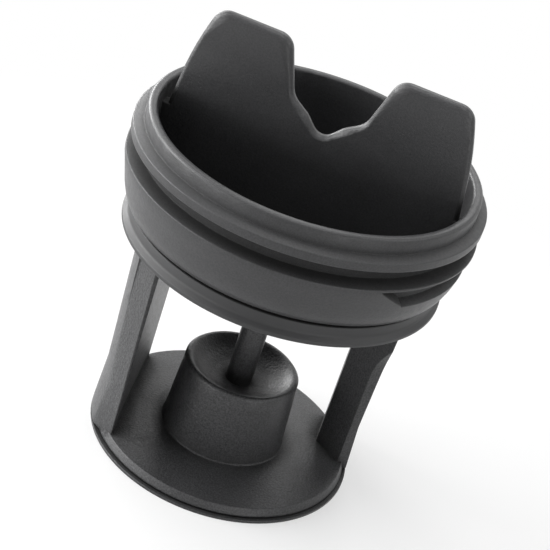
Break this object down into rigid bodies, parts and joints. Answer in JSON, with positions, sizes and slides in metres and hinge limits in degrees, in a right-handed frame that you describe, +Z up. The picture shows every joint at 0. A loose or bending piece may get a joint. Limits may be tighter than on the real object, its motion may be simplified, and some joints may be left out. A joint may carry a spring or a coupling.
{
  "type": "drain pump filter",
  "caption": "Screw-in drain pump filter: threaded cap with an upright grip plate, lip seal, open legs, stem and dished cup on a base disc.",
  "frame": {"origin": "centre of the base disc's underside", "axes": "+Z up along the filter's axis, from the base disc to the grip; X along the grip plate"},
  "size_m": [0.064, 0.0638, 0.0816],
  "materials": {
    "filter_body": "moulded black polypropylene, fine satin grain",
    "seal_ring": "moulded black rubber, matte"
  },
  "bodies": {
    "root": {"filter_body": "filter_body", "seal_ring": "seal_ring"}
  },
  "joints": []
}
